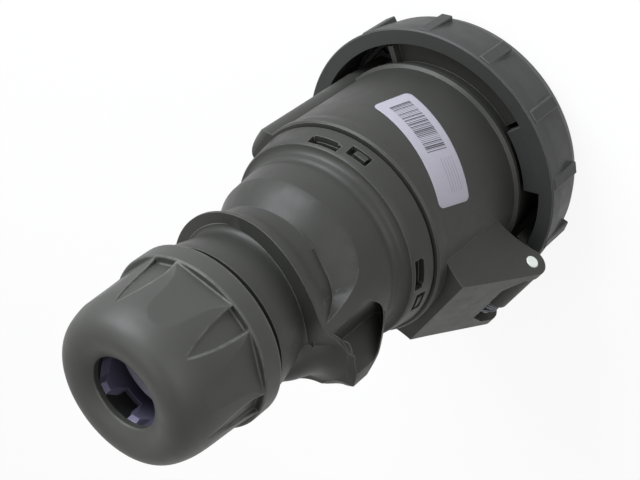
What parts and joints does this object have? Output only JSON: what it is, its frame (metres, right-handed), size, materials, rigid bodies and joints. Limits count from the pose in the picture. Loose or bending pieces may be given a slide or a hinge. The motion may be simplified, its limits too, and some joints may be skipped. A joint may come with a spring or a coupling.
{
  "type": "three-phase socket connector",
  "caption": "Handheld industrial socket connector in dark plastic with hinged bayonet lid, keyed round housing, waisted handle with finger fin and ribbed cable gland nut.",
  "frame": {"origin": "centre of the closed lid's flat outer face", "axes": "+Z along the connector towards the cable gland, +X towards the keyway bar, -X towards the lid's hinge"},
  "size_m": [0.1045, 0.1001, 0.176],
  "materials": {
    "housing_plastic": "moulded, satin",
    "handle_plastic": "moulded, satin",
    "lid_plastic": "moulded, satin",
    "ring_plastic": "moulded, satin",
    "nut_plastic": "moulded, satin",
    "cage_plastic": "moulded, satin",
    "carrier_plastic": "moulded, matt",
    "seal_rubber": "moulded, matt",
    "cable_rubber": "moulded, matt",
    "pin_plastic": "turned, satin",
    "spring_steel": "drawn wire",
    "screw_steel": "zinc plated",
    "contact_brass": "turned, bright"
  },
  "bodies": {
    "housing": {"front_housing": "housing_plastic", "handle": "handle_plastic", "handle_seal": "seal_rubber", "contact_carrier": "carrier_plastic", "terminal_block": "carrier_plastic", "terminal_screws": "screw_steel", "hinge_pin": "pin_plastic", "lid_spring": "spring_steel", "cable_seal": "cable_rubber", "sleeve_pe": "contact_brass", "sleeve_l1": "contact_brass", "sleeve_l2": "contact_brass", "sleeve_l3": "contact_brass", "sleeve_n": "contact_brass", "sleeve_spring_pe": "spring_steel", "sleeve_spring_l1": "spring_steel", "sleeve_spring_l2": "spring_steel", "sleeve_spring_l3": "spring_steel", "sleeve_spring_n": "spring_steel"},
    "lid": {"lid": "lid_plastic", "lid_gasket": "seal_rubber"},
    "locking_ring": {"bayonet_ring": "ring_plastic"},
    "cage": {"clamping_cage": "cage_plastic"},
    "nut": {"gland_nut": "nut_plastic"}
  },
  "joints": [
    {"name": "lid_hinge", "type": "hinge", "parent": "housing", "child": "lid", "pos_m": [-0.0493, 0, 0.0365], "axis": [0, 1, 0], "range_deg": [0, 130], "stiffness_Nm_per_rad": 0.04, "springref_deg": -68.75},
    {"name": "bayonet_turn", "type": "hinge", "parent": "lid", "child": "locking_ring", "pos_m": [0, 0, 0.012], "axis": [0, 0, 1], "range_deg": [0, 60]},
    {"name": "cage_slide", "type": "slide", "parent": "housing", "child": "cage", "axis": [0, 0, 1], "range_m": [0, 0.003]},
    {"name": "nut_turn", "type": "hinge", "parent": "cage", "child": "nut", "pos_m": [0, 0, 0.15], "axis": [0, 0, 1], "range_deg": [0, 360]}
  ],
  "couplings": [
    {"joint": "cage_slide", "follows": "nut_turn", "m_per_rad": 0.00047746}
  ]
}
